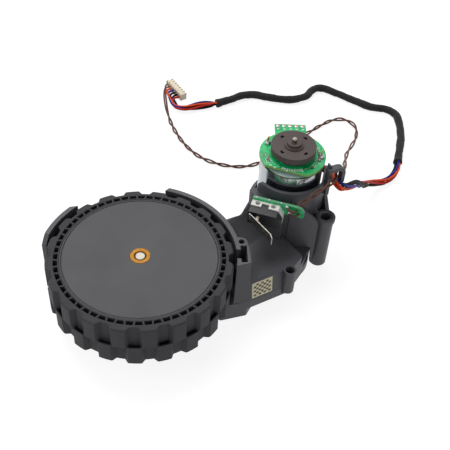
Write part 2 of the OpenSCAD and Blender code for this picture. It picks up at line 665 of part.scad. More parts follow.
module cable_clip() {
    profile = [[0, -6, 0.1], [0, clip_rise, 0.6], [clip_l, clip_rise, 3.2], [clip_l, clip_low, 0.6],
        [clip_l - clip_t, clip_low, 0.6], [clip_l - clip_t, clip_rise - clip_t, 1.7],
        [clip_t, clip_rise - clip_t, 0.4], [clip_t, -6, 0.1]];
    at(motor + polar(ring_out - 1, -24)) translate([0, 0, ring_top]) rotate(26) {
        rotate([90, 0, 0]) linear_extrude(clip_w) polygon(rounded(profile));
        translate([0.3, -0.2, clip_rise - 0.1]) rotate([90, 0, 0])
            linear_extrude(1.1) polygon([[0, 0], [1.8, 0], [0.5, 2.1], [0, 2.1]]);
    }
}
module housing_screw(z0, long) {
    translate([0, 0, z0]) cylinder(r = screw_head, h = 1.5);
    translate([0, 0, z0 + 1.5 - eps]) cylinder(r = screw_r, h = long);
}
module housing_screws() {
    color("silver") {
        at(deep_screw) housing_screw(0.3, 12);
        for (p = seat_screws) at(p) housing_screw(step_z + 0.3, 6.5);
    }
}

// Motor
module motor_can() {
    color("silver") at(motor) difference() {
        translate([0, 0, seat_z]) cylinder(d = motor_d, h = motor_len);
        translate([0, 0, seat_z + 0.8]) cylinder(d = motor_d - 1.4, h = motor_len);
        translate([0, 0, seat_z - 1]) cylinder(r = shaft_r + run, h = 4);
    }
}
module motor_end_cap() {
    color("gainsboro") at(motor) difference() {
        union() {
            translate([0, 0, can_top - 1.4]) cylinder(d = motor_d - 1.4 - 2 * fit, h = 1.4);
            translate([0, 0, can_top - eps]) cylinder(r = 5, h = 1.1 + eps);
        }
        translate([0, 0, can_top - 3]) cylinder(r = shaft_r + run, h = 6);
    }
}
module motor_magnets() {
    color("dimgray") at(motor) for (a = [20, 200])
        arc_wall(motor_d / 2 - 0.75, motor_d / 2 - 2.9, a, a + 140, seat_z + 3, can_top - 5);
}
core_r = motor_d / 2 - 3.5;
module rotor_core() {
    color("gray") at(motor) difference() {
        translate([0, 0, seat_z + 5]) cylinder(r = core_r, h = motor_len - 15);
        translate([0, 0, seat_z]) cylinder(r = shaft_r, h = motor_len);
        for (k = [0:4]) rotate(72 * k) translate([3.4, -0.9, seat_z + 4]) cube([core_r, 1.8, motor_len]);
    }
}
module commutator() {
    color("peru") at(motor) tube(2.9, shaft_r, seat_z + motor_len - 9.8, can_top - 2);
}
module motor_shaft() {
    color("silver") at(motor) {
        translate([0, 0, g1_big[0] - 0.4]) cylinder(r = shaft_r, h = tip_z - 0.4 - g1_big[0] + 0.4);
        translate([0, 0, tip_z - 0.4 - eps]) cylinder(r1 = shaft_r, r2 = shaft_r - 0.35, h = 0.4);
    }
}
chord_n = -104.5;
chord_off = board_d / 2 * 0.772;
tab_turn = 3;
module encoder_board() {
    color("seagreen") at(motor) translate([0, 0, board_z]) linear_extrude(board_t) difference() {
        union() {
            circle(d = board_d);
            rotate(tab_turn) translate([-6.25, 0]) square([12.5, board_d / 2 + 5]);
        }
        rotate(chord_n) translate([chord_off, -board_d]) square([board_d, 2 * board_d]);
        circle(r = 2);
        rotate(-45) translate([10.3, 0]) circle(r = 0.9);
        rotate(tab_turn) for (k = [-2:2]) translate([2.5 * k, board_d / 2 + 3.9]) circle(r = 0.5);
        for (a = terminal_a) rotate(a) translate([10.7, -0.6]) square([0.7, 1.2]);
    }
}
terminal_a = [152, -5];
module motor_terminals() {
    color("gold") at(motor) for (a = terminal_a) rotate(a)
        translate([10.75, -0.55, can_top]) cube([0.6, 1.1, board_t + 3.2]);
}
module encoder_sensors() {
    color("dimgray") at(motor) for (a = [-70, -110])
        rotate(a) translate([5.6, -1.4, board_z + board_t]) cube([1.5, 2.8, 1.1]);
}
module encoder_magnet() {
    color("saddlebrown") at(motor) difference() {
        union() {
            translate([0, 0, magnet_z]) cylinder(d = magnet_d, h = 2.6);
            translate([0, 0, magnet_z + 2.6 - eps]) cylinder(r = 3.8, h = 0.6);
            translate([0, 0, magnet_z + 3.2 - 2 * eps]) cylinder(r = 2.9, h = 1.1);
        }
        translate([0, 0, magnet_z - 1]) cylinder(r = shaft_r, h = 9);
        for (k = [0:3]) rotate(45 + 90 * k) translate([6.2, 0, magnet_z - 1]) intersection() {
            cylinder(r = 0.9, h = 5);
            translate([-0.3, -1, 0]) cube([2, 2, 5]);
        }
    }
}

// Limit switch
module on_switch() { at(switch_o) rotate(switch_turn) children(); }
switch_board_l = switch_l + 7.6;
switch_board_h = 4.8;
switch_board_z = switch_z + 2.4;
terminal_x = [1.6, 6.4, 11.2];
terminal_z = switch_z + 3.6;
module switch_board() {
    plan = [[0, 0, 0.2], [switch_board_l, 0, 0.9], [switch_board_l, switch_board_h, 2.8],
        [0, switch_board_h, 0.3]];
    color("seagreen") on_switch() translate([0, 0, switch_board_z]) rotate([90, 0, 0])
        linear_extrude(sw_board_t) difference() {
            polygon(rounded(plan));
            translate([switch_board_l - 2.8, 3.3]) circle(r = 0.5);
            translate([switch_board_l - 1.9, 1.8]) circle(r = 0.5);
            for (x = terminal_x) translate([x - 0.4, terminal_z - switch_board_z - 0.1]) square([0.8, 1]);
        }
}
// One half of the case, with its upper corner cut off at the far end
module switch_half(y0, depth, high) {
    slope = [1.9, 2.7];
    translate([0, -sw_board_t - y0, switch_z]) rotate([90, 0, 0]) linear_extrude(depth)
        polygon([[0, 0], [switch_l, 0], [switch_l, high - slope[1]], [switch_l - slope[0], high], [0, high]]);
}
white_up = 0.5;
hole_x = [2.4, 8.6];
tongue = [4.1, 2.8, 1.9];
module switch_tongue(grow) {
    translate([tongue[0] - grow, -sw_board_t - white_d - eps, switch_z + switch_h - 2 - grow])
        cube([tongue[1] + 2 * grow, tongue[2] + grow + eps, 2 + 20 * grow]);
}
module switch_cover() {
    color("white") on_switch() difference() {
        switch_half(fit, white_d - fit, switch_h + white_up);
        for (x = hole_x) translate([x, -sw_board_t - 1.5, switch_z - 1]) cylinder(r = 0.95, h = switch_h + 2);
        switch_tongue(fit);
    }
}
plunger_x = 3.9;
plunger_r = 0.65;
plunger_z = switch_z + switch_h / 2 + 0.8;
front_y = -sw_board_t - white_d - black_d;
plunger_in = 2.4;
module switch_base() {
    color("black") on_switch() difference() {
        union() {
            switch_half(white_d, black_d, switch_h);
            switch_tongue(0);
        }
        translate([plunger_x, front_y + plunger_in + 0.8, plunger_z]) rotate([90, 0, 0])
            cylinder(r = plunger_r + run, h = plunger_in + 2);
    }
}
module switch_terminals() {
    color("gold") on_switch() for (x = terminal_x)
        translate([x - 0.3, -sw_board_t - fit, terminal_z]) cube([0.6, sw_board_t + fit, 0.8]);
}
// The lever stands off the switch about a curl just outside its front face
lever_l = 15;
lever_t = 0.3;
lever_h = 3.4;
lever_tip = 2.2;
curl_r = 0.4;
lever_o = [0.8, front_y - curl_r - fit];
plunger_out = (plunger_x - plunger_r - lever_o[0]) * tan(lever_open) + front_y - lever_o[1] - lever_t;
module switch_plunger() {
    color("ivory") on_switch() translate([plunger_x, front_y + plunger_in - 1, plunger_z])
        rotate([90, 0, 0]) cylinder(r = plunger_r, h = plunger_in - 1 + plunger_out);
}
module switch_lever() {
    color("silver") on_switch() translate([lever_o[0], lever_o[1], plunger_z - lever_h / 2 - 0.2])
        rotate(-lever_open) linear_extrude(lever_h) {
            circle(r = curl_r);
            translate([0, -lever_t / 2]) square([lever_l - lever_tip, lever_t]);
            translate([lever_l - lever_tip - 0.06, 0]) rotate(-23) translate([0, -lever_t / 2])
                square([lever_tip, lever_t]);
        }
}

// Harness
module motor_wires() { color("darkorange") sweep(wires_route, bundle_d / 2); }
module harness_sheath() { color("black") sweep(sheath_route, sheath_d / 2); }
module fan_wires() { color("royalblue") sweep(fan_route, bundle_d / 2); }
module switch_lead() { color("sienna") sweep(pair_route, pair_d / 2); }
module connector_housing() {
    color("ivory") at(plug_at) rotate(plug_turn) difference() {
        translate([-plug_l / 2, -plug_w / 2, 0]) cube([plug_l, plug_w, plug_h]);
        for (k = [0:plug_ways - 1]) translate([plug_way(k) - 0.6, -0.8, 1]) cube([1.2, plug_w, 1.4]);
    }
}
function plug_way(k) = plug_pitch * (k - (plug_ways - 1) / 2);
module connector_contacts() {
    color("gold") at(plug_at) rotate(plug_turn) for (k = [0:plug_ways - 1])
        translate([plug_way(k) - 0.4, -0.8, 1]) cube([0.8, plug_w / 2 + 0.6, 0.4]);
}

tyre();
wheel_rim();
hub_cap();
hub_bush();
output_gear();
wheel_axle();
gearbox_base();
gearbox_cover();
gear_1();
gear_2();
gear_3();
gear_pins();
motor_pinion();
housing_screws();
motor_cradle();
motor_can();
motor_end_cap();
motor_magnets();
rotor_core();
commutator();
motor_shaft();
motor_terminals();
encoder_board();
encoder_sensors();
encoder_magnet();
switch_board();
switch_cover();
switch_base();
switch_terminals();
switch_plunger();
switch_lever();
motor_wires();
harness_sheath();
fan_wires();
switch_lead();
connector_housing();
connector_contacts();
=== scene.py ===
"""Looks of the robot vacuum wheel module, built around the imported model. Lengths are in millimetres
unless they are multiplied by MM or said to be in metres."""
import math

import bmesh
import bpy
from mathutils import Matrix, Vector, noise


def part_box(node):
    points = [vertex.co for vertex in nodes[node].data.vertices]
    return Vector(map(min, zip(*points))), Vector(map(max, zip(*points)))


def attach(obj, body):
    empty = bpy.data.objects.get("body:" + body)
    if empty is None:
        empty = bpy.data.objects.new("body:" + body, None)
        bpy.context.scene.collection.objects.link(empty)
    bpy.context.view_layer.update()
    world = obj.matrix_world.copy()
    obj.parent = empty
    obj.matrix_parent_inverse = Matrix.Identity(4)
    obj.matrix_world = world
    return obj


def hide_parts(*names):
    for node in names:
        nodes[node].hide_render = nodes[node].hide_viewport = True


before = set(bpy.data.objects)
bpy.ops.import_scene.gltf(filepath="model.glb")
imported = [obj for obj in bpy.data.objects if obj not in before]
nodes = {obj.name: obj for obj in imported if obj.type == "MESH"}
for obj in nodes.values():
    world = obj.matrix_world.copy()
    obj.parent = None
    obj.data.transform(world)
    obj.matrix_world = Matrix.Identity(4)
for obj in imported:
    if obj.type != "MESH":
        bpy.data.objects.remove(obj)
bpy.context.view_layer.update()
MM = 0.001


# Camera, at the photograph's viewing angle
CAMERA_AT = (30.6, -197.04, 252.2)
CAMERA_DOWN = 46.01
CAMERA_ROLL = 4.12
CAMERA_LENS = 64.16


def make_camera():
    data = bpy.data.cameras.new("camera")
    data.sensor_width = 36
    data.lens = CAMERA_LENS
    data.clip_start = 0.01
    data.clip_end = 10
    cam = bpy.data.objects.new("camera", data)
    tilt = Matrix.Rotation(math.radians(90 - CAMERA_DOWN), 3, "X")
    roll = Matrix.Rotation(math.radians(CAMERA_ROLL), 3, "Z")
    cam.rotation_euler = (tilt @ roll).to_euler()
    cam.location = Vector(CAMERA_AT) * MM
    bpy.context.scene.collection.objects.link(cam)
    bpy.context.scene.camera = cam


make_camera()


# Routes of the harness, as the model has them
WIRES_ROUTE = [
    (56, 56.4, 45.4), (57.4, 56.8, 42.8), (60, 56.2, 39.6), (63.6, 53.6, 36.6), (67.2, 50.4, 35),
    (70.2, 47, 35.6), (71.9, 42.8, 37.8), (71.9, 39.2, 40), (71.6, 36.7, 40.9), (72.4, 34.4, 41),
    (73.7, 32.9, 40.5), (76.2, 34.8, 38.2), (79.2, 39.4, 34.9), (83, 46.3, 29.8), (86, 54, 22.6),
    (90.7, 65.6, 12.4), (97.3, 75.6, 4.6), (103.1, 79.7, 2.4), (107, 84, 2.1), (109.4, 88.8, 2.1),
    (110.4, 93.9, 2.1)]
SHEATH_ROUTE = [
    (110.4, 93.9, 2.1), (111.6, 100, 2.1), (112.9, 106.7, 2.1), (114, 113, 2.1),
    (114.3, 119.3, 2.1), (114, 126, 2.1), (112.6, 131.5, 2.1), (108, 135, 2.1), (100.6, 136, 2.1),
    (92.6, 140.2, 2.1), (83.5, 145.3, 2.1), (78, 148.4, 2.1), (73.6, 148.6, 2.1), (70.2, 145.4, 2.1),
    (67.1, 140.4, 2.1), (60, 137.2, 2.1), (53.5, 137.2, 2.1), (47.1, 137.9, 2.1), (41.5, 138.8, 2.1),
    (36, 138, 2.1), (29, 133.8, 2.1), (21.8, 129.4, 2.1)]
FAN_ROUTE = [
    (21.8, 129.4, 2.1), (14.6, 127.4, 1.9), (8.2, 124.6, 1.9), (3.4, 124, 1.9),
    (0.5, 126.6, 2), (-0.8, 130.8, 2), (-0.5, 134.8, 1.9), (0.9, 136.8, 1.8)]
PAIR_ROUTE = [
    (58.6, 21.8, 37.2), (59, 23.2, 38), (60.4, 24, 39), (62.4, 25.2, 40.3), (64.6, 26.6, 41.4),
    (67.2, 28.4, 42.6), (70, 30.8, 43.4), (71.6, 32.6, 43.7), (72.2, 34.4, 43.9), (72.1, 36.6, 43.9),
    (72.8, 38.8, 43.8), (74.4, 40.2, 43.2), (75.9, 42, 41.8), (77, 46.4, 38.2), (78.7, 56.9, 31),
    (79.8, 64, 26.5), (81.2, 71.2, 22), (82.8, 79, 17.4), (84.6, 86.8, 13), (86.8, 94.4, 8.6),
    (89, 102, 4.8), (90.6, 107.6, 2.4), (91.9, 112.6, 1.1), (92.3, 117.6, 1), (90.8, 122.2, 1),
    (86.5, 125.1, 1), (81, 124.2, 1), (75.3, 119.8, 1), (68.9, 113.4, 1), (60.2, 104, 1),
    (51.5, 94.1, 1), (43.8, 87.3, 1), (38, 84.6, 1), (32.1, 83.9, 1), (24.4, 85.2, 1),
    (16.5, 88.9, 1), (10, 95.3, 1), (5, 102.8, 1), (0.6, 111.9, 1), (-2.4, 121.7, 1),
    (-4.3, 130.5, 1.4), (-5, 135.6, 1.8), (-5.1, 139.2, 1.9), (-4.5, 141.4, 1.9), (-3, 142.5, 1.9)]
PLUG_AT = (0.8, 139)
PLUG_TURN = -55
PLUG_PITCH = 2
PLUG_WAYS = 7
PLUG_WIDE = 3.4
PLUG_HIGH = 3.4
PLUG_BACK = -PLUG_WIDE / 2

# Places on the motor's board, the switch and the cover's front
MOTOR_AT = (54.853, 40.505)
TAB_TURN = 3
TAB_PADS = [2.5 * k for k in range(-2, 3)]
TAB_PAD_Y = 16.9
TERMINAL_ANGLES = (152, -5)
TERMINAL_R = 11.05
SWITCH_AT = (40.835, 25.774)
SWITCH_TURN = -13.8
SWITCH_BOARD_T = 1.2
LABEL_FROM = (42.497, -1.875)
LABEL_TURN = 31.83
FRONT_DRAFT = 7
SEAM_Z = 9


# Node helpers
def node(tree, kind, **settings):
    made = tree.nodes.new(kind)
    for key, value in settings.items():
        setattr(made, key, value)
    return made


def link(tree, source, target):
    tree.links.new(source, target)


def math_node(tree, operation, a, b=None, clamp=False):
    made = node(tree, "ShaderNodeMath", operation=operation, use_clamp=clamp)
    for socket, value in zip(made.inputs, (a, b)):
        if value is None:
            continue
        if isinstance(value, (int, float)):
            socket.default_value = value
        else:
            link(tree, value, socket)
    return made.outputs[0]


def noise_node(tree, where, per_metre, detail=4.0, rough=0.55):
    made = node(tree, "ShaderNodeTexNoise")
    made.inputs["Scale"].default_value = per_metre
    made.inputs["Detail"].default_value = detail
    made.inputs["Roughness"].default_value = rough
    link(tree, where, made.inputs["Vector"])
    return made.outputs["Fac"]


def ramp(tree, value, low, high, to_low=0.0, to_high=1.0):
    made = node(tree, "ShaderNodeMapRange")
    for name, number in (("From Min", low), ("From Max", high), ("To Min", to_low), ("To Max", to_high)):
        made.inputs[name].default_value = number
    link(tree, value, made.inputs["Value"])
    return made.outputs["Result"]


def mix_colour(tree, share, a, b):
    made = node(tree, "ShaderNodeMix", data_type="RGBA")
    for socket, value in ((made.inputs[0], share), (made.inputs[6], a), (made.inputs[7], b)):
        if isinstance(value, (int, float)):
            socket.default_value = value
        elif isinstance(value, tuple):
            socket.default_value = (*value, 1)
        else:
            link(tree, value, socket)
    return made.outputs[2]


def linear(*rgb):
    """A colour written as 0 to 255 in sRGB, as the shaders take it."""
    def one(c):
        c = c / 255
        return c / 12.92 if c <= 0.04045 else ((c + 0.055) / 1.055) ** 2.4
    return tuple(one(c) for c in rgb)


def scaled(rgb, k):
    return tuple(min(1.0, c * k) for c in rgb)


def start_material(name, roughness, metallic=0.0, specular=0.5, coat=0.0):
    made = bpy.data.materials.new(name)
    made.use_nodes = True
    tree = made.node_tree
    shader = tree.nodes["Principled BSDF"]
    shader.inputs["Roughness"].default_value = roughness
    shader.inputs["Metallic"].default_value = metallic
    shader.inputs["Specular IOR Level"].default_value = specular
    shader.inputs["Coat Weight"].default_value = coat
    where = node(tree, "ShaderNodeTexCoord").outputs["Object"]
    return made, tree, shader, where


def soft_edges(tree, radius_mm):
    """The bevelled normal, and a mask that is 1 on the rounded edges."""
    bevel = node(tree, "ShaderNodeBevel", samples=4)
    bevel.inputs["Radius"].default_value = radius_mm * MM
    geometry = node(tree, "ShaderNodeNewGeometry")
    dot = node(tree, "ShaderNodeVectorMath", operation="DOT_PRODUCT")
    link(tree, bevel.outputs["Normal"], dot.inputs[0])
    link(tree, geometry.outputs["Normal"], dot.inputs[1])
    mask = ramp(tree, dot.outputs["Value"], 0.999, 0.86)
    return bevel.outputs["Normal"], mask


def bump(tree, shader, height, strength, distance_mm, normal=None):
    made = node(tree, "ShaderNodeBump")
    made.inputs["Strength"].default_value = strength
    made.inputs["Distance"].default_value = distance_mm * MM
    link(tree, height, made.inputs["Height"])
    if normal is not None:
        link(tree, normal, made.inputs["Normal"])
    link(tree, made.outputs["Normal"], shader.inputs["Normal"])


def moulded(name, colour, roughness=0.5, grain=4200, edge=1.35, edge_mm=0.25, depth_mm=0.02,
            specular=0.4):
    """Moulded plastic: fine spark texture, faint flow mottling and edges rubbed a little lighter."""
    made, tree, shader, where = start_material(name, roughness, specular=specular)
    normal, mask = soft_edges(tree, edge_mm)
    blotch = noise_node(tree, where, 55, detail=3)
    fine = noise_node(tree, where, grain, detail=2, rough=0.6)
    base = mix_colour(tree, ramp(tree, blotch, 0.3, 0.7), scaled(colour, 0.92), scaled(colour, 1.08))
    rubbed = ramp(tree, noise_node(tree, where, 700), 0.35, 0.6)
    worn = math_node(tree, "MULTIPLY", mask, rubbed, clamp=True)
    link(tree, mix_colour(tree, worn, base, scaled(colour, edge)), shader.inputs["Base Color"])
    link(tree, ramp(tree, blotch, 0.3, 0.7, roughness - 0.05, roughness + 0.06),
         shader.inputs["Roughness"])
    bump(tree, shader, fine, 0.35, depth_mm, normal)
    return made


def metal(name, colour, roughness=0.3, streak=(1, 1, 1), grain=900, depth_mm=0.004, edge_mm=0.12):
    """Ground or rolled metal: streaks along one direction, small stains and rounded edges."""
    made, tree, shader, where = start_material(name, roughness, metallic=1.0)
    normal, mask = soft_edges(tree, edge_mm)
    mapping = node(tree, "ShaderNodeMapping")
    mapping.inputs["Scale"].default_value = streak
    link(tree, where, mapping.inputs["Vector"])
    fine = noise_node(tree, mapping.outputs["Vector"], grain, detail=5, rough=0.65)
    stain = noise_node(tree, where, 120, detail=4)
    base = mix_colour(tree, ramp(tree, stain, 0.35, 0.7), colour, scaled(colour, 0.86))
    link(tree, mix_colour(tree, mask, base, scaled(colour, 1.12)), shader.inputs["Base Color"])
    link(tree, ramp(tree, fine, 0.3, 0.7, roughness - 0.08, roughness + 0.1), shader.inputs["Roughness"])
    bump(tree, shader, fine, 0.25, depth_mm, normal)
    return made


def rubber(name, colour):
    """Moulded rubber: matt, faintly powdery, with lighter scuffed edges."""
    made, tree, shader, where = start_material(name, 0.72, specular=0.35)
    normal, mask = soft_edges(tree, 0.3)
    dust = noise_node(tree, where, 160, detail=6, rough=0.7)
    fine = noise_node(tree, where, 2600, detail=3)
    base = mix_colour(tree, ramp(tree, dust, 0.4, 0.75), colour, scaled(colour, 1.3))
    rubbed = ramp(tree, noise_node(tree, where, 420), 0.35, 0.65)
    scuff = math_node(tree, "MULTIPLY", mask, rubbed, clamp=True)
    link(tree, mix_colour(tree, scuff, base, scaled(colour, 1.75)), shader.inputs["Base Color"])
    bump(tree, shader, fine, 0.4, 0.03, normal)
    return made


def board(name, colour, copper, laminate, flat):
    """Solder mask over copper: traces show lighter, and the cut edge shows bare laminate. flat is the
    direction that the board faces."""
    made, tree, shader, where = start_material(name, 0.36, specular=0.3, coat=0.1)
    traces = node(tree, "ShaderNodeTexVoronoi", feature="DISTANCE_TO_EDGE")
    traces.inputs["Scale"].default_value = 420
    link(tree, where, traces.inputs["Vector"])
    gaps = ramp(tree, traces.outputs["Distance"], 0.03, 0.07)
    patch = noise_node(tree, where, 140, detail=1)
    over = math_node(tree, "MULTIPLY", gaps, ramp(tree, patch, 0.42, 0.48), clamp=True)
    facing = node(tree, "ShaderNodeVectorMath", operation="DOT_PRODUCT")
    link(tree, node(tree, "ShaderNodeTexCoord").outputs["Normal"], facing.inputs[0])
    facing.inputs[1].default_value = flat
    edge = ramp(tree, math_node(tree, "ABSOLUTE", facing.outputs["Value"]), 0.8, 0.6)
    mask_colour = mix_colour(tree, over, colour, copper)
    link(tree, mix_colour(tree, edge, mask_colour, laminate), shader.inputs["Base Color"])
    weave = noise_node(tree, where, 1500, detail=2)
    height = math_node(tree, "ADD", math_node(tree, "MULTIPLY", weave, 0.3), over)
    normal, _ = soft_edges(tree, 0.1)
    bump(tree, shader, height, 0.3, 0.02, normal)
    return made


def polished(name, colour, roughness=0.1):
    """Plated sheet: smooth, with faint stains."""
    made, tree, shader, where = start_material(name, roughness, metallic=1.0)
    stain = noise_node(tree, where, 90, detail=5, rough=0.7)
    link(tree, mix_colour(tree, ramp(tree, stain, 0.4, 0.7), colour, scaled(colour, 0.9)),
         shader.inputs["Base Color"])
    link(tree, ramp(tree, stain, 0.3, 0.7, roughness - 0.03, roughness + 0.05),
         shader.inputs["Roughness"])
    return made


def printed(name, colour, roughness=0.6):
    """Ink or paper: matt, with a faint mottle."""
    made, tree, shader, where = start_material(name, roughness, specular=0.25)
    tone = noise_node(tree, where, 1400, detail=3)
    link(tree, mix_colour(tree, ramp(tree, tone, 0.3, 0.7), scaled(colour, 0.88), scaled(colour, 1.06)),
         shader.inputs["Base Color"])
    return made


def insulation(name, colour, specular=0.16):
    """Wire insulation: smooth and slightly glossy, a little uneven in colour."""
    made, tree, shader, where = start_material(name, 0.5, specular=specular)
    tone = noise_node(tree, where, 300, detail=3)
    link(tree, mix_colour(tree, ramp(tree, tone, 0.3, 0.7), scaled(colour, 0.85), scaled(colour, 1.12)),
         shader.inputs["Base Color"])
    bump(tree, shader, noise_node(tree, where, 1800), 0.15, 0.02)
    return made


def cloth_tape(name, colour):
    """Woven cloth tape: two crossed wave textures make the weave."""
    made, tree, shader, where = start_material(name, 0.78, specular=0.3)
    shader.inputs["Sheen Weight"].default_value = 0.12
    shader.inputs["Sheen Roughness"].default_value = 0.5
    heights = []
    for direction in ("X", "Y"):
        wave = node(tree, "ShaderNodeTexWave", bands_direction=direction)
        wave.inputs["Scale"].default_value = 620
        wave.inputs["Distortion"].default_value = 1.5
        wave.inputs["Detail"].default_value = 1
        link(tree, where, wave.inputs["Vector"])
        heights.append(wave.outputs["Fac"])
    weave = math_node(tree, "MULTIPLY", heights[0], heights[1])
    tone = noise_node(tree, where, 260, detail=4)
    link(tree, mix_colour(tree, ramp(tree, tone, 0.35, 0.7), scaled(colour, 0.7), scaled(colour, 1.7)),
         shader.inputs["Base Color"])
    bump(tree, shader, weave, 0.5, 0.08)
    return made


HOUSING = linear(74, 74, 79)
SWITCH_OUT = (math.sin(math.radians(SWITCH_TURN)), -math.cos(math.radians(SWITCH_TURN)), 0)
MATERIALS = {
    "rubber": rubber("rubber", linear(50, 50, 53)),
    "rim": moulded("rim", linear(44, 44, 47), 0.55),
    "cap": moulded("cap", linear(65, 65, 68), 0.54, grain=5200, depth_mm=0.012, edge=1.2),
    "housing": moulded("housing", HOUSING, 0.48),
    "gear": moulded("gear", linear(225, 222, 210), 0.4, edge=1.05),
    "brass": metal("brass", linear(122, 84, 34), 0.36),
    "steel": metal("steel", linear(138, 133, 124), 0.34),
    "can": polished("can", linear(172, 176, 179), 0.15),
    "ferrite": moulded("ferrite", linear(50, 50, 52), 0.6),
    "copper": metal("copper", linear(200, 125, 85), 0.3),
    "board": board("board", linear(16, 176, 98), linear(40, 204, 122), linear(132, 178, 96), (0, 0, 1)),
    "switch_board": board("switch_board", linear(22, 158, 92), linear(44, 188, 116),
                          linear(96, 166, 122), SWITCH_OUT),
    "chip": moulded("chip", linear(28, 28, 30), 0.4, edge_mm=0.08),
    "ceramic": moulded("ceramic", linear(120, 88, 62), 0.35, edge_mm=0.06),
    "solder": metal("solder", linear(168, 170, 172), 0.32, grain=1500),
    "gold": metal("gold", linear(178, 132, 62), 0.3),
    "ink": printed("ink", linear(226, 236, 226)),
    "label_paper": printed("label_paper", linear(238, 230, 198)),
    "label_ink": printed("label_ink", linear(100, 95, 80)),
    "magnet": moulded("magnet", linear(76, 65, 62), 0.62, grain=3000, edge=1.25, edge_mm=0.2,
                      depth_mm=0.03),
    "end_cap": moulded("end_cap", linear(196, 208, 214), 0.3, edge=1.05, edge_mm=0.12),
    "switch_white": moulded("switch_white", linear(226, 226, 220), 0.35, edge=1.05, edge_mm=0.12),
    "switch_black": moulded("switch_black", linear(22, 22, 25), 0.4, edge=1.6, edge_mm=0.12),
    "plunger": moulded("plunger", linear(222, 212, 186), 0.35, edge=1.05, edge_mm=0.08),
    "contact": metal("contact", linear(222, 205, 170), 0.25),
    "spring": metal("spring", linear(150, 147, 140), 0.28, streak=(0.1, 1, 1)),
    "nylon": moulded("nylon", linear(238, 226, 202), 0.42, edge=1.06, edge_mm=0.12),
    "orange": insulation("orange", linear(240, 84, 34)),
    "red": insulation("red", linear(186, 38, 34)),
    "blue": insulation("blue", linear(30, 44, 134)),
    "black": insulation("black", linear(16, 16, 18), 0.04),
    "brown": insulation("brown", linear(104, 70, 60)),
    "tape": cloth_tape("tape", linear(18, 18, 20)),
}

NODE_LOOKS = {
    "rubber": ["tyre"], "rim": ["wheel_rim"], "cap": ["hub_cap"],
    "housing": ["gearbox_base", "gearbox_cover", "motor_cradle"],
    "gear": ["output_gear", "gear_1", "gear_2", "gear_3"],
    "brass": ["hub_bush", "motor_pinion"],
    "steel": ["wheel_axle", "gear_pins", "housing_screws", "motor_shaft", "rotor_core"],
    "can": ["motor_can"], "end_cap": ["motor_end_cap"], "ferrite": ["motor_magnets"],
    "copper": ["commutator"], "switch_white": ["switch_cover"], "plunger": ["switch_plunger"],
    "switch_black": ["switch_base"], "board": ["encoder_board"], "switch_board": ["switch_board"],
    "chip": ["encoder_sensors"], "magnet": ["encoder_magnet"], "gold": ["motor_terminals"],
    "contact": ["switch_terminals", "connector_contacts"],
    "spring": ["switch_lever"], "nylon": ["connector_housing"],
}


def dress_nodes():
    for look, names in NODE_LOOKS.items():
        for name in names:
            mesh = nodes[name].data
            mesh.materials.clear()
            mesh.materials.append(MATERIALS[look])


dress_nodes()


# Smooth lines through a route
def smooth_line(route, step):
    """Points about step apart on a smooth curve through the route's points."""
    p = [Vector(q) for q in route]
    ends = [2 * p[0] - p[1], *p, 2 * p[-1] - p[-2]]
    line = []
    for i in range(len(p) - 1):
        a, b, c, d = ends[i:i + 4]
        count = max(1, round((c - b).length / step))
        for k in range(count):
            t = k / count
            line.append(0.5 * (2 * b + (c - a) * t + (2 * a - 5 * b + 4 * c - d) * t * t
                               + (3 * b - a - 3 * c + d) * t ** 3))
    return [*line, p[-1]]


def travelled(line):
    """The distance along the line at each of its points."""
    total = [0.0]
    for a, b in zip(line, line[1:]):
        total.append(total[-1] + (b - a).length)
    return total


def side_frames(line):
    """Two directions across the line at each point, carried along it without twist."""
    frames = []
    side = None
    for i in range(len(line)):
        ahead = (line[min(i + 1, len(line) - 1)] - line[max(i - 1, 0)]).normalized()
        if side is None:
            side = ahead.cross(Vector((0, 0, 1))).normalized()
        side = (side - ahead * side.dot(ahead)).normalized()
        frames.append((side, side.cross(ahead).normalized()))
    return frames


def strand(line, radius_at, phase, pitch_at):
    """A wire wound round a line. Its distance from the line and its pitch are functions of the way
    along it."""
    made = []
    turn = math.radians(phase)
    last = 0.0
    for point, s, (u, v) in zip(line, travelled(line), side_frames(line)):
        turn += 2 * math.pi * (s - last) / pitch_at(s)
        last = s
        made.append(point + radius_at(s) * (math.cos(turn) * u + math.sin(turn) * v))
    return made


def wire(name, line, diameter, look, body="root"):
    """A round wire as a curve along the line."""
    data = bpy.data.curves.new(name, "CURVE")
    data.dimensions = "3D"
    data.bevel_depth = diameter / 2 * MM
    data.bevel_resolution = 3
    data.use_fill_caps = True
    spline = data.splines.new("POLY")
    spline.points.add(len(line) - 1)
    for target, point in zip(spline.points, line):
        target.co = (*(point * MM), 1)
    data.materials.append(MATERIALS[look])
    made = bpy.data.objects.new(name, data)
    bpy.context.scene.collection.objects.link(made)
    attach(made, body)
    return made


def mesh_piece(name, bm, look, body="root", smooth=True):
    """An object from a bmesh in millimetres."""
    data = bpy.data.meshes.new(name)
    bmesh.ops.scale(bm, vec=(MM, MM, MM), verts=bm.verts)
    bmesh.ops.recalc_face_normals(bm, faces=bm.faces)
    bm.to_mesh(data)
    bm.free()
    for face in data.polygons:
        face.use_smooth = smooth
    data.materials.append(MATERIALS[look])
    made = bpy.data.objects.new(name, data)
    bpy.context.scene.collection.objects.link(made)
    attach(made, body)
    return made


def bridge(bm, rings):
    """Faces between each closed ring of points and the next."""
    for a, b in zip(rings, rings[1:]):
        for k in range(len(a)):
            after = (k + 1) % len(a)
            bm.faces.new((a[k], a[after], b[after], b[k]))


def turned(at, degrees, x, y, z):
    """A point of a frame that stands at a place in plan and is turned about the vertical."""
    a = math.radians(degrees)
    return Vector((at[0] + x * math.cos(a) - y * math.sin(a),
                   at[1] + x * math.sin(a) + y * math.cos(a), z))


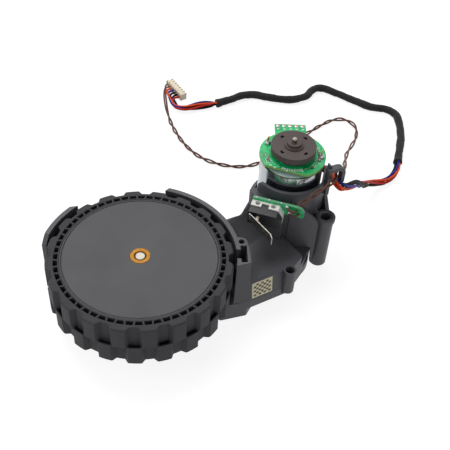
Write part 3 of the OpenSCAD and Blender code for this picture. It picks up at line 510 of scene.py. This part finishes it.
def plug_point(x, y, z):
    return turned(PLUG_AT, PLUG_TURN, x, y, z)


def switch_point(x, y, z):
    return turned(SWITCH_AT, SWITCH_TURN, x, y, z)


def way_x(k):
    return PLUG_PITCH * (k - (PLUG_WAYS - 1) / 2)


# The five motor wires run from the board's tab through clip and sheath to the connector
WIRE_D = 1.1
WIRE_LOOKS = ["orange", "blue", "black", "black", "red"]
WIRE_PADS = [3, 1, 0, 4, 2]
WIRE_START_Z = (47.4, 46.2)
WIRE_STEP = 0.7
WIRE_BEND = 2.3 * WIRE_D
BUNDLE_R = 0.98
BUNDLE_LOOSE = 0.3
BUNDLE_PITCH = -85
BUNDLE_PHASE = 216
BUNDLE_STEP = 1.5
EASE_ROUNDS = 200

# How far each wire stands from the fan's middle line: sideways near the sheath, sideways near the
# connector, and upwards
FAN_SPREAD = [(0.2, 1.4, 0.9), (4.0, -1.8, 0.7), (0.2, -0.4, 0.2), (-4.4, 2.4, -0.5), (-1.2, -3.0, 0.2)]
FAN_STEP = 1.2
FAN_LEAN = 0.6
FAN_FULL = 0.8

# The cloth-taped sheath, whose tape laps itself once a pitch and flares at both ends
SHEATH_R = 1.9
SHEATH_SIDES = 28
TAPE_PITCH = 8.5
TAPE_LAP = 0.16
TAPE_LUMP = 0.3
TAPE_CREASE = 0.09
FLARE_LONG = 3
FLARE_FIRST = 0.3
FLARE_LAST = 0.2
FLOOR_GAP = 0.02


def tab_point(x, y, z):
    return turned(MOTOR_AT, TAB_TURN, x, y, z)


def fan_line(k):
    """A wire's way from the sheath's mouth to its own way of the connector."""
    line = smooth_line(FAN_ROUTE[:-2], FAN_STEP)
    along = travelled(line)
    first, last, rise = FAN_SPREAD[k]
    made = []
    for point, s, (u, _) in zip(line, along, side_frames(line)):
        open_share = math.sin(math.pi * min(1.0, s / along[-1])) ** FAN_FULL
        lean = FAN_LEAN * (k - 2) * s / along[-1]
        side = first + (last - first) * s / along[-1]
        made.append(point + u * (side * open_share + lean) + Vector((0, 0, rise * open_share)))
    x = way_x(k + 2)
    end = [plug_point(x - 0.4, PLUG_BACK - 3.2, 2), plug_point(x, PLUG_BACK - 1.2, 1.9),
           plug_point(x, PLUG_BACK + 0.3, 1.9)]
    return made[1:-2], end


def bend_radius(a, b, c):
    """The radius of the circle through three points."""
    twice_area = (b - a).cross(c - a).length
    if twice_area <= 1e-9:
        return math.inf
    return (b - a).length * (c - b).length * (c - a).length / (2 * twice_area)


def eased(line, least):
    """Open the bends of less than the least radius. The points at both ends are held."""
    line = list(line)
    for _ in range(EASE_ROUNDS):
        moved = False
        for i in range(2, len(line) - 3):
            if bend_radius(line[i - 2], line[i], line[i + 2]) < least:
                line[i] = 0.5 * line[i] + 0.25 * (line[i - 1] + line[i + 1])
                moved = True
        if not moved:
            break
    return line


def motor_wire(k):
    """A motor wire's line: from its pad, wound with the others to the sheath's mouth, to the connector."""
    bundle = smooth_line(WIRES_ROUTE[2:] + SHEATH_ROUTE[1:], BUNDLE_STEP)[:-1]
    phase = BUNDLE_PHASE + 360 / len(WIRE_LOOKS) * k
    to_sheath = travelled(smooth_line(WIRES_ROUTE[2:], BUNDLE_STEP))[-1]

    def spread(s):
        loose = math.sin(math.pi * min(1, s / to_sheath))
        return BUNDLE_R + BUNDLE_LOOSE * loose * (1 + math.sin(s / 7 + 2.1 * k)) / 2

    pad_x = TAB_PADS[WIRE_PADS[k]]
    start = [tab_point(pad_x, TAB_PAD_Y, WIRE_START_Z[0]),
             tab_point(pad_x + 0.1, TAB_PAD_Y + 0.1, WIRE_START_Z[1])]
    wound = strand(bundle, spread, phase, lambda s: BUNDLE_PITCH)
    out, end = fan_line(k)
    line = smooth_line([tuple(p) for p in [*start, *wound[1:], *out[1::3], *end]], WIRE_STEP)
    return eased(line, WIRE_BEND)


def make_harness():
    tube_line = smooth_line(SHEATH_ROUTE, WIRE_STEP)
    sheath = make_sheath(tube_line)
    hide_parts("harness_sheath")
    for k, look in enumerate(WIRE_LOOKS):
        line = motor_wire(k)
        made = wire(f"motor_wire_{k + 1}", line, WIRE_D, look)
        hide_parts("motor_wires", "fan_wires")


def make_sheath(line):
    """Cloth tape wound round the wires, each turn lapping the one before."""
    bm = bmesh.new()
    along = travelled(line)
    rings = []
    for point, s, (u, v) in zip(line, along, side_frames(line)):
        ring = []
        for k in range(SHEATH_SIDES):
            a = 2 * math.pi * k / SHEATH_SIDES
            lap = (s / TAPE_PITCH + k / SHEATH_SIDES) % 1.0
            lump = noise.noise(Vector((s * 0.16, math.cos(a) * 0.8, math.sin(a) * 0.8)))
            crease = noise.noise(Vector((s * 0.9, math.cos(a) * 2, math.sin(a) * 2)))
            flare = (FLARE_FIRST * max(0.0, 1 - s / FLARE_LONG)
                     + FLARE_LAST * max(0.0, 1 - (along[-1] - s) / FLARE_LONG))
            r = (SHEATH_R + TAPE_LAP * (1 - lap) ** 3 - TAPE_LAP / 2
                 + TAPE_LUMP * lump + TAPE_CREASE * crease + flare)
            spot = point + r * (math.cos(a) * u + math.sin(a) * v)
            ring.append(bm.verts.new((spot.x, spot.y, max(FLOOR_GAP, spot.z))))
        rings.append(ring)
    bridge(bm, rings)
    for ring in (rings[0], rings[-1]):
        bm.faces.new(ring)
    return mesh_piece("sheath", bm, "tape")


# The twisted pair from the switch board: soldered in front, looped back through two holes, then twisted
PAIR_D = 0.85
PAIR_BEND = 2.2 * PAIR_D
PAIR_STEPS = (0.9, 0.6)

# The twist's pitch, and the stretches of the route where it opens
PAIR_PITCH = 14.5
PAIR_OPEN = (30, 106)
PAIR_OPEN_PITCH = 56
PAIR_LAST = 248
PAIR_LAST_PITCH = 60

# Half the distance between the two wires: its least, what the holes add, and what the loose twist adds
PAIR_APART = (0.48, 0.4, 0.12)
PAIR_SOLDER = [(13.5, 38.2), (14.7, 35.5)]
PAIR_LOOP = [(16.2, 36.9), (17.2, 35)]
PAIR_HOLES = [(17.6, 37.5), (18.5, 36)]
PAIR_PHASE = (121, 301)


def clamped(share):
    return min(1.0, max(0.0, share))


def pair_apart(s):
    """Half the distance between the two wires, wider where they leave the holes."""
    least, at_holes, loose = PAIR_APART
    tight = clamped((s - PAIR_LAST) / 12)
    return least + at_holes * max(0.0, 1 - s / 10) + loose * (1 - tight) * math.sin(s / 9) ** 2


def pair_pitch(s):
    """The twist is open from the clip to the bend on the floor, and opens again before the connector."""
    rise = clamped((s - PAIR_OPEN[0]) / 8 + 0.5)
    fall = clamped((PAIR_OPEN[1] - s) / 14 + 0.5)
    last = clamped((s - PAIR_LAST) / 10)
    return PAIR_PITCH + (PAIR_OPEN_PITCH - PAIR_PITCH) * min(rise, fall) + PAIR_LAST_PITCH * last


def make_pair():
    line = smooth_line(PAIR_ROUTE, PAIR_STEPS[0])
    front = -SWITCH_BOARD_T
    for k in range(2):
        (x0, z0), (x1, z1), (x2, z2) = PAIR_SOLDER[k], PAIR_LOOP[k], PAIR_HOLES[k]
        start = [switch_point(x0, front - 0.5, z0),
                 switch_point((x0 + x1) / 2, front - 1.1, (z0 + z1) / 2),
                 switch_point(x1, front - 1.9, z1), switch_point(x2 - 0.1, front - 1.6, z2 - 0.2),
                 switch_point(x2, front - 0.4, z2), switch_point(x2, 0.3, z2)]
        x = way_x(k)
        end = [plug_point(x, PLUG_BACK - 1.5, 1.8), plug_point(x, PLUG_BACK + 0.3, 1.8)]
        wound = strand(line, pair_apart, PAIR_PHASE[k], pair_pitch)[2:-4]
        made_line = smooth_line([tuple(p) for p in [*start, *wound, *end]], PAIR_STEPS[1])
        made_line = eased(made_line, PAIR_BEND)
        made = wire(f"switch_wire_{k + 1}", made_line, PAIR_D, "brown")
        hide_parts("switch_lead")


make_harness()
make_pair()


# Small shapes that are gathered into one mesh each
def add_dome(bm, at, radius, height, up=Vector((0, 0, 1)), lean=0.0):
    """A solder joint: a rounded mound whose foot flares out a little."""
    sides, steps = 18, 6
    across = up.orthogonal().normalized()
    other = up.cross(across)
    rings = []
    for j in range(steps):
        t = j / steps
        r = radius * (math.cos(t * math.pi / 2) ** 0.7)
        h = height * math.sin(t * math.pi / 2)
        rings.append([bm.verts.new(at + up * h + across * (lean * h)
                                   + r * (math.cos(a) * across + math.sin(a) * other))
                      for a in (2 * math.pi * k / sides for k in range(sides))])
    top = bm.verts.new(at + up * height + across * (lean * height))
    bm.faces.new(list(reversed(rings[0])))
    bridge(bm, rings)
    for k in range(sides):
        bm.faces.new((rings[-1][k], rings[-1][(k + 1) % sides], top))


def add_block(bm, frame_point, x, y, z):
    """A block with bevelled edges. x, y and z are its two limits each in the frame."""
    corners = [frame_point(a, b, c) for c in z for b in y for a in x]
    verts = [bm.verts.new(p) for p in corners]
    faces = [(0, 2, 3, 1), (4, 5, 7, 6), (0, 1, 5, 4), (2, 6, 7, 3), (0, 4, 6, 2), (1, 3, 7, 5)]
    made = [bm.faces.new([verts[i] for i in f]) for f in faces]
    size = min(abs(x[1] - x[0]), abs(y[1] - y[0]), abs(z[1] - z[0]))
    edges = list({e for f in made for e in f.edges})
    bmesh.ops.bevel(bm, geom=edges, offset=size * 0.18, segments=2, affect="EDGES")


def add_arc(bm, r0, r1, a0, a1, z, thick):
    """A flat arc about the motor's axis, in degrees."""
    steps = max(3, round((a1 - a0) / 5))
    rows = []
    for j in range(steps + 1):
        a = math.radians(a0 + (a1 - a0) * j / steps)
        rows.append([bm.verts.new((MOTOR_AT[0] + r * math.cos(a), MOTOR_AT[1] + r * math.sin(a), h))
                     for r, h in ((r0, z), (r1, z), (r1, z + thick), (r0, z + thick))])
    bridge(bm, rows)
    bm.faces.new(rows[0])
    bm.faces.new(list(reversed(rows[-1])))


# Encoder board: pads, solder, small parts and plain printed marks
BOARD_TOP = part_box("encoder_board")[1][2] / MM
SUNK = 0.02
INK_T = 0.04
PIN_Z = (BOARD_TOP + 0.8, BOARD_TOP + 3.4)

# Each small part's angle and radius on the board, length, width and height
SMALL_PARTS = [
    (206, 10.6, 1.6, 0.8, 0.55), (198, 9.9, 1.0, 0.5, 0.35), (190, 11.4, 1.0, 0.5, 0.35),
    (118, 11.6, 1.6, 0.8, 0.55), (130, 10.4, 1.0, 0.5, 0.35), (6, 10.3, 1.6, 0.8, 0.55),
    (-13, 10.6, 2.0, 1.2, 0.8), (-22, 9.8, 1.0, 0.5, 0.35), (15, 10.2, 1.0, 0.5, 0.35),
    (300, 9.9, 1.0, 0.5, 0.35)]

# Arcs as their two angles, and crosses as their angle and radius
ARC_MARKS = ((196, 228), (232, 238), (318, 346), (350, 358), (28, 52), (128, 140))
CROSS_MARKS = ((212, 11.5), (221, 11.3), (231, 10.9), (322, 10.6), (336, 11.3), (24, 11.2), (36, 10.8))


def polar_frame(angle, r):
    """A frame on the board at an angle and radius, with x along the circle."""
    a = math.radians(angle)
    at = (MOTOR_AT[0] + r * math.cos(a), MOTOR_AT[1] + r * math.sin(a))
    return lambda x, y, z: turned(at, angle + 90, x, y, z)


def finish_piece(name, bm, look, smooth=False):
    made = mesh_piece(name, bm, look, smooth=smooth)
    return made


def make_board_parts():
    solder = bmesh.new()
    tips = bmesh.new()
    pins = bmesh.new()
    for x in TAB_PADS:
        at = tab_point(x, TAB_PAD_Y, BOARD_TOP - SUNK)
        add_dome(solder, at, 0.95, 0.3)
        add_dome(tips, at + Vector((0, 0, 0.2)), 0.36, 0.3)
    for angle in TERMINAL_ANGLES:
        at = turned(MOTOR_AT, angle, TERMINAL_R, 0, BOARD_TOP - SUNK)
        add_dome(solder, at, 1.25, 1.5, lean=0.15)
        add_block(pins, polar_frame(angle, TERMINAL_R), (-0.55, 0.55), (-0.14, 0.14), PIN_Z)
    bodies = bmesh.new()
    for angle, r, long, wide, high in SMALL_PARTS:
        place = polar_frame(angle, r)
        tip = long * 0.24
        zs = (BOARD_TOP - SUNK, BOARD_TOP + high)
        add_block(bodies, place, (-long / 2 + tip, long / 2 - tip), (-wide / 2, wide / 2), zs)
        for side in (-1, 1):
            ends = sorted((side * long / 2, side * (long / 2 - tip)))
            add_block(solder, place, ends, (-wide * 0.53, wide * 0.53), (zs[0], zs[1] + 0.04))
    finish_piece("board_solder", solder, "solder", smooth=True)
    finish_piece("wire_tips", tips, "copper", smooth=True)
    finish_piece("terminal_ends", pins, "gold")
    finish_piece("board_small_parts", bodies, "ceramic")


def make_board_marks():
    ink = bmesh.new()
    z = BOARD_TOP - 0.01
    for a0, a1 in ARC_MARKS:
        add_arc(ink, 9.55, 9.72, a0, a1, z, INK_T)
    for k in range(9):
        add_arc(ink, 9.1, 10.1 + 0.25 * (k % 3), 244 + 5.6 * k, 247.8 + 5.6 * k, z, INK_T)
    for x in TAB_PADS:
        add_block(ink, tab_point, (x - 0.45, x + 0.45), (TAB_PAD_Y - 2.3, TAB_PAD_Y - 1.6),
                  (z, z + INK_T))
    for angle, r, long, wide, _ in SMALL_PARTS[::2]:
        place = polar_frame(angle, r)
        for side in (-1, 1):
            y = side * (wide / 2 + 0.28)
            add_block(ink, place, (-long / 2 - 0.2, long / 2 + 0.2), sorted((y, y + side * 0.14)),
                      (z, z + INK_T))
    for angle, r in CROSS_MARKS:
        place = polar_frame(angle, r)
        add_block(ink, place, (-0.6, 0.6), (-0.17, 0.17), (z, z + INK_T))
        add_block(ink, place, (-0.17, 0.17), (-0.6, 0.6), (z, z + INK_T))
    finish_piece("board_marks", ink, "ink")


make_board_parts()
make_board_marks()


# Switch board: solder at the wires and along the switch's pins
SWITCH_PINS = (1.6, 6.4, 11.2)


def make_switch_solder():
    out = Vector(SWITCH_OUT)
    solder = bmesh.new()
    for x, z in PAIR_SOLDER:
        add_dome(solder, switch_point(x, -SWITCH_BOARD_T + 0.02, z), 0.85, 0.8, up=out)
    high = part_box("switch_board")[1][2] / MM
    for x in SWITCH_PINS:
        add_dome(solder, switch_point(x, -SWITCH_BOARD_T / 2, high - 0.05), 0.5, 0.45)
    finish_piece("switch_solder", solder, "solder", smooth=True)


make_switch_solder()


# Plain label on the drafted front of the cover: a lattice of dark blocks on tan paper
LABEL_X = (0.7, 9.8)
LABEL_UP = (0.7, 8.5)
LABEL_T = 0.08
LABEL_GRID = (7, 6)
LABEL_RIM = 0.7
LABEL_GAP = 0.05


def label_point(x, up, off):
    """A point on the drafted front: x along its foot, up its slope, off its face."""
    lean = math.radians(FRONT_DRAFT)
    y = up * math.sin(lean) - off * math.cos(lean)
    return turned(LABEL_FROM, LABEL_TURN, x, y, SEAM_Z + up * math.cos(lean) + off * math.sin(lean))


def make_label():
    paper = bmesh.new()
    add_block(paper, label_point, LABEL_X, LABEL_UP, (-0.1, LABEL_T))
    finish_piece("label_paper", paper, "label_paper")
    blocks = bmesh.new()
    columns, rows = LABEL_GRID
    step_x = (LABEL_X[1] - LABEL_X[0] - 2 * LABEL_RIM) / columns
    step_up = (LABEL_UP[1] - LABEL_UP[0] - 2 * LABEL_RIM) / rows
    for i in range(columns):
        for j in range(rows):
            if (i + j) % 2:
                continue
            x = LABEL_X[0] + LABEL_RIM + i * step_x
            up = LABEL_UP[0] + LABEL_RIM + j * step_up
            add_block(blocks, label_point, (x + LABEL_GAP, x + step_x), (up + LABEL_GAP, up + step_up),
                      (LABEL_T - SUNK, LABEL_T + SUNK))
    finish_piece("label_blocks", blocks, "label_ink")


make_label()


# Ribs between the connector's ways, where the wires go in and over its latches
def make_connector_ribs():
    ribs = bmesh.new()
    for k in range(PLUG_WAYS + 1):
        x = way_x(k) - PLUG_PITCH / 2
        add_block(ribs, plug_point, (x - 0.28, x + 0.28), (PLUG_BACK - 0.5, PLUG_BACK + 0.6),
                  (0.5, PLUG_HIGH + 0.25))
        add_block(ribs, plug_point, (x - 0.2, x + 0.2), (0.5, PLUG_WIDE / 2 + 0.1),
                  (PLUG_HIGH - 0.1, PLUG_HIGH + 0.3))
    finish_piece("connector_ribs", ribs, "nylon")


make_connector_ribs()


# Stage: pale floor, plain background and soft light
FLOOR_HALF = 3000
FLOOR_AT = (0.05, 0.05, -0.00005)
FLOOR_GLOW = 0.86
WORLD_LIGHT = 0.22

# Each lamp's place and size in metres, and its power in watts
LAMPS = {
    "top_light": ((-0.2, 0.55, 1.0), (0.9, 0.7), 8),
    "left_light": ((-0.9, -0.2, 0.6), (0.5, 0.9), 3),
    "front_light": ((0.5, -0.9, 0.5), (0.8, 0.5), 1.2),
}
LAMPS_AIM = (0.03, 0.03, 0.02)


def seen_or_lit(tree, seen, lit, output):
    """The camera and reflections see one shader, and the other lights the object."""
    path = node(tree, "ShaderNodeLightPath")
    rays = math_node(tree, "ADD", path.outputs["Is Camera Ray"], path.outputs["Is Glossy Ray"])
    rays = math_node(tree, "ADD", rays, path.outputs["Is Transmission Ray"], clamp=True)
    picked = node(tree, "ShaderNodeMixShader")
    link(tree, rays, picked.inputs[0])
    link(tree, lit.outputs[0], picked.inputs[1])
    link(tree, seen.outputs[0], picked.inputs[2])
    link(tree, picked.outputs[0], output.inputs["Surface"])


def make_floor():
    bm = bmesh.new()
    bmesh.ops.create_grid(bm, x_segments=2, y_segments=2, size=FLOOR_HALF)
    data = bpy.data.meshes.new("floor")
    bmesh.ops.scale(bm, vec=(MM, MM, MM), verts=bm.verts)
    bm.to_mesh(data)
    bm.free()
    made = bpy.data.objects.new("floor", data)
    made.location = FLOOR_AT
    bpy.context.scene.collection.objects.link(made)
    material = bpy.data.materials.new("floor")
    material.use_nodes = True
    tree = material.node_tree
    tree.nodes.clear()
    output = node(tree, "ShaderNodeOutputMaterial")
    diffuse = node(tree, "ShaderNodeBsdfDiffuse")
    diffuse.inputs["Color"].default_value = (0.8, 0.8, 0.8, 1)
    seen = node(tree, "ShaderNodeBsdfDiffuse")
    seen.inputs["Color"].default_value = (0.3, 0.3, 0.3, 1)
    glow = node(tree, "ShaderNodeEmission")
    glow.inputs["Strength"].default_value = FLOOR_GLOW
    both = node(tree, "ShaderNodeAddShader")
    link(tree, seen.outputs[0], both.inputs[0])
    link(tree, glow.outputs[0], both.inputs[1])
    seen_or_lit(tree, both, diffuse, output)
    data.materials.append(material)


def make_world():
    world = bpy.data.worlds.new("studio")
    bpy.context.scene.world = world
    world.use_nodes = True
    tree = world.node_tree
    tree.nodes.clear()
    output = node(tree, "ShaderNodeOutputWorld")
    lit = node(tree, "ShaderNodeBackground")
    lit.inputs["Color"].default_value = (0.96, 0.98, 1, 1)
    lit.inputs["Strength"].default_value = WORLD_LIGHT
    seen = node(tree, "ShaderNodeBackground")
    seen.inputs["Color"].default_value = (1, 1, 1, 1)
    seen.inputs["Strength"].default_value = 1.0
    seen_or_lit(tree, seen, lit, output)


def soft_light(name, at, size, power):
    data = bpy.data.lights.new(name, "AREA")
    data.shape = "RECTANGLE"
    data.size, data.size_y = size
    data.energy = power
    made = bpy.data.objects.new(name, data)
    made.location = at
    aim = Vector(LAMPS_AIM) - Vector(at)
    made.rotation_euler = aim.to_track_quat("-Z", "Y").to_euler()
    bpy.context.scene.collection.objects.link(made)


def make_lights():
    for name, (at, size, power) in LAMPS.items():
        soft_light(name, at, size, power)


make_floor()
make_world()
make_lights()

bpy.context.scene.view_settings.view_transform = "Standard"
